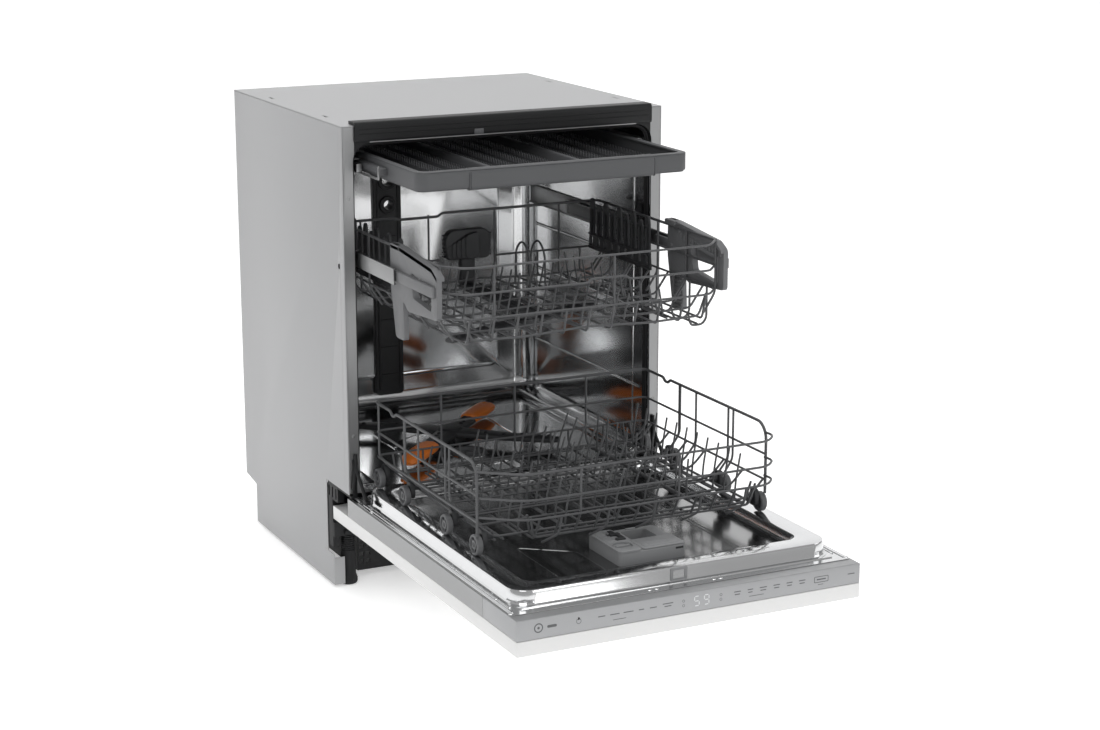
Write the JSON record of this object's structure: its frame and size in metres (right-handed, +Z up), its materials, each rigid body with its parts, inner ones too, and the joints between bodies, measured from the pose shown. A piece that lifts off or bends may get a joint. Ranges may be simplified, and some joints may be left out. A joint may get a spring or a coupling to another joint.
{
  "type": "built-in dishwasher",
  "caption": "Open built-in dishwasher with a folded-down panelled door, sliding wire racks, a cutlery tray, spray arms and screw feet.",
  "frame": {"origin": "on the floor under the middle of the whole open machine", "axes": "+Z up, +Y towards the wall behind the machine, +X to the right seen from the front"},
  "size_m": [0.598, 1.2024, 0.826],
  "materials": {
    "cabinet_paint": "satin",
    "stainless": "polished",
    "door_steel": "satin",
    "fascia": "satin",
    "white_lacquer": "satin",
    "black_plastic": "satin",
    "dark_plastic": "satin",
    "grey_plastic": "matte",
    "light_plastic": "matte",
    "coated_wire": "satin",
    "orange_plastic": "satin",
    "rubber": "matte",
    "spring_steel": "satin"
  },
  "bodies": {
    "cabinet": {"left_side_panel": "cabinet_paint", "right_side_panel": "cabinet_paint", "top_panel": "cabinet_paint", "back_panel": "cabinet_paint", "top_trim": "black_plastic", "tub": "stainless", "door_seal": "rubber", "sump": "dark_plastic", "filter_plate": "stainless", "water_duct": "dark_plastic", "ceiling_nozzle": "grey_plastic", "base_tray": "black_plastic", "circulation_pump": "dark_plastic", "inlet_valve": "light_plastic", "drain_outlet": "dark_plastic", "cable_gland": "black_plastic", "hinge_plate_left": "black_plastic", "hinge_plate_right": "black_plastic", "door_spring_left": "spring_steel", "door_spring_right": "spring_steel", "fixed_runner_left": "stainless", "fixed_runner_right": "stainless", "tray_rail_left": "stainless", "tray_rail_right": "stainless"},
    "filter": {"filter_cup": "grey_plastic"},
    "lower_arm": {"lower_spray_arm": "dark_plastic", "spray_tip_rear": "orange_plastic", "spray_tip_front": "orange_plastic"},
    "door": {"furniture_panel": "white_lacquer", "door_shell": "door_steel", "control_fascia": "fascia", "door_liner": "stainless", "door_latch": "light_plastic", "dispenser_body": "light_plastic"},
    "lid": {"dispenser_lid": "grey_plastic"},
    "cap": {"rinse_cap": "dark_plastic"},
    "lower_basket": {"lower_rack": "coated_wire"},
    "tine_row": {"folding_tines": "coated_wire"},
    "middle_runners": {"middle_runner_left": "stainless", "middle_runner_right": "stainless"},
    "upper_carriage": {"height_bracket_left": "grey_plastic", "height_bracket_right": "grey_plastic"},
    "upper_basket": {"upper_rack": "coated_wire", "feed_tube": "dark_plastic"},
    "upper_arm": {"upper_spray_arm": "dark_plastic"},
    "shelf_left": {"cup_shelf_left": "dark_plastic"},
    "shelf_right": {"cup_shelf_right": "dark_plastic"},
    "tray": {"cutlery_tray": "grey_plastic"},
    "wheel_left_1_body": {"wheel_left_1": "light_plastic"},
    "wheel_left_2_body": {"wheel_left_2": "light_plastic"},
    "wheel_left_3_body": {"wheel_left_3": "light_plastic"},
    "wheel_left_4_body": {"wheel_left_4": "light_plastic"},
    "wheel_right_1_body": {"wheel_right_1": "light_plastic"},
    "wheel_right_2_body": {"wheel_right_2": "light_plastic"},
    "wheel_right_3_body": {"wheel_right_3": "light_plastic"},
    "wheel_right_4_body": {"wheel_right_4": "light_plastic"},
    "foot_front_left_body": {"foot_front_left": "black_plastic"},
    "foot_front_right_body": {"foot_front_right": "black_plastic"},
    "foot_rear_left_body": {"foot_rear_left": "black_plastic"},
    "foot_rear_right_body": {"foot_rear_right": "black_plastic"}
  },
  "joints": [
    {"name": "door_hinge", "type": "hinge", "parent": "cabinet", "child": "door", "pos_m": [0, 0.07025, 0.165], "axis": [-1, 0, 0], "range_deg": [-2, 0]},
    {"name": "dispenser_lid_slide", "type": "slide", "parent": "door", "child": "lid", "axis": [0, 1, 0], "range_m": [0, 0.05]},
    {"name": "rinse_cap_turn", "type": "hinge", "parent": "door", "child": "cap", "pos_m": [-0.038, -0.44025, 0.207], "axis": [0, 0, 1], "range_deg": [0, 90]},
    {"name": "filter_lift", "type": "slide", "parent": "cabinet", "child": "filter", "axis": [0, 0, 1], "range_m": [0, 0.03]},
    {"name": "lower_arm_spin", "type": "hinge", "parent": "cabinet", "child": "lower_arm", "pos_m": [-0.012, 0.28325, 0.212], "axis": [0, 0, 1], "continuous": true},
    {"name": "lower_rack_slide", "type": "slide", "parent": "cabinet", "child": "lower_basket", "axis": [0, 1, 0], "range_m": [0, 0.49]},
    {"name": "upper_rack_slide", "type": "slide", "parent": "cabinet", "child": "upper_carriage", "axis": [0, 1, 0], "range_m": [-0.12, 0.33]},
    {"name": "middle_runner_slide", "type": "slide", "parent": "cabinet", "child": "middle_runners", "axis": [0, 1, 0], "range_m": [-0.06, 0.165]},
    {"name": "upper_rack_height", "type": "slide", "parent": "upper_carriage", "child": "upper_basket", "axis": [0, 0, 1], "range_m": [-0.05, 0]},
    {"name": "upper_arm_spin", "type": "hinge", "parent": "upper_basket", "child": "upper_arm", "pos_m": [-0.012, -0.03175, 0.485], "axis": [0, 0, 1], "continuous": true},
    {"name": "cup_shelf_left_fold", "type": "hinge", "parent": "upper_basket", "child": "shelf_left", "pos_m": [-0.23, 0.05825, 0.552], "axis": [0, 1, 0], "range_deg": [0, 85]},
    {"name": "cup_shelf_right_fold", "type": "hinge", "parent": "upper_basket", "child": "shelf_right", "pos_m": [0.23, 0.05825, 0.552], "axis": [0, -1, 0], "range_deg": [0, 85]},
    {"name": "cutlery_tray_slide", "type": "slide", "parent": "cabinet", "child": "tray", "axis": [0, 1, 0], "range_m": [-0.12, 0.22]},
    {"name": "tine_row_fold", "type": "hinge", "parent": "lower_basket", "child": "tine_row", "pos_m": [0.1285, -0.14175, 0.2403], "axis": [0, 1, 0], "range_deg": [0, 80]},
    {"name": "wheel_left_1_roll", "type": "hinge", "parent": "lower_basket", "child": "wheel_left_1_body", "pos_m": [-0.255, 0.02725, 0.2233], "axis": [-1, 0, 0], "range_deg": [-5, 1660]},
    {"name": "wheel_left_2_roll", "type": "hinge", "parent": "lower_basket", "child": "wheel_left_2_body", "pos_m": [-0.255, -0.08275, 0.2233], "axis": [-1, 0, 0], "range_deg": [-5, 1660]},
    {"name": "wheel_left_3_roll", "type": "hinge", "parent": "lower_basket", "child": "wheel_left_3_body", "pos_m": [-0.255, -0.25375, 0.2233], "axis": [-1, 0, 0], "range_deg": [-5, 1660]},
    {"name": "wheel_left_4_roll", "type": "hinge", "parent": "lower_basket", "child": "wheel_left_4_body", "pos_m": [-0.255, -0.36775, 0.2233], "axis": [-1, 0, 0], "range_deg": [-5, 1660]},
    {"name": "wheel_right_1_roll", "type": "hinge", "parent": "lower_basket", "child": "wheel_right_1_body", "pos_m": [0.255, 0.02725, 0.2233], "axis": [-1, 0, 0], "range_deg": [-5, 1660]},
    {"name": "wheel_right_2_roll", "type": "hinge", "parent": "lower_basket", "child": "wheel_right_2_body", "pos_m": [0.255, -0.08275, 0.2233], "axis": [-1, 0, 0], "range_deg": [-5, 1660]},
    {"name": "wheel_right_3_roll", "type": "hinge", "parent": "lower_basket", "child": "wheel_right_3_body", "pos_m": [0.255, -0.25375, 0.2233], "axis": [-1, 0, 0], "range_deg": [-5, 1660]},
    {"name": "wheel_right_4_roll", "type": "hinge", "parent": "lower_basket", "child": "wheel_right_4_body", "pos_m": [0.255, -0.36775, 0.2233], "axis": [-1, 0, 0], "range_deg": [-5, 1660]},
    {"name": "foot_front_left_screw", "type": "slide", "parent": "cabinet", "child": "foot_front_left_body", "axis": [0, 0, -1], "range_m": [0, 0.025]},
    {"name": "foot_front_right_screw", "type": "slide", "parent": "cabinet", "child": "foot_front_right_body", "axis": [0, 0, -1], "range_m": [0, 0.025]},
    {"name": "foot_rear_left_screw", "type": "slide", "parent": "cabinet", "child": "foot_rear_left_body", "axis": [0, 0, -1], "range_m": [0, 0.025]},
    {"name": "foot_rear_right_screw", "type": "slide", "parent": "cabinet", "child": "foot_rear_right_body", "axis": [0, 0, -1], "range_m": [0, 0.025]}
  ],
  "couplings": [
    {"joint": "middle_runner_slide", "follows": "upper_rack_slide", "ratio": 0.5},
    {"joint": "wheel_left_1_roll", "follows": "lower_rack_slide", "rad_per_m": 58.824},
    {"joint": "wheel_left_2_roll", "follows": "lower_rack_slide", "rad_per_m": 58.824},
    {"joint": "wheel_left_3_roll", "follows": "lower_rack_slide", "rad_per_m": 58.824},
    {"joint": "wheel_left_4_roll", "follows": "lower_rack_slide", "rad_per_m": 58.824},
    {"joint": "wheel_right_1_roll", "follows": "lower_rack_slide", "rad_per_m": 58.824},
    {"joint": "wheel_right_2_roll", "follows": "lower_rack_slide", "rad_per_m": 58.824},
    {"joint": "wheel_right_3_roll", "follows": "lower_rack_slide", "rad_per_m": 58.824},
    {"joint": "wheel_right_4_roll", "follows": "lower_rack_slide", "rad_per_m": 58.824}
  ]
}
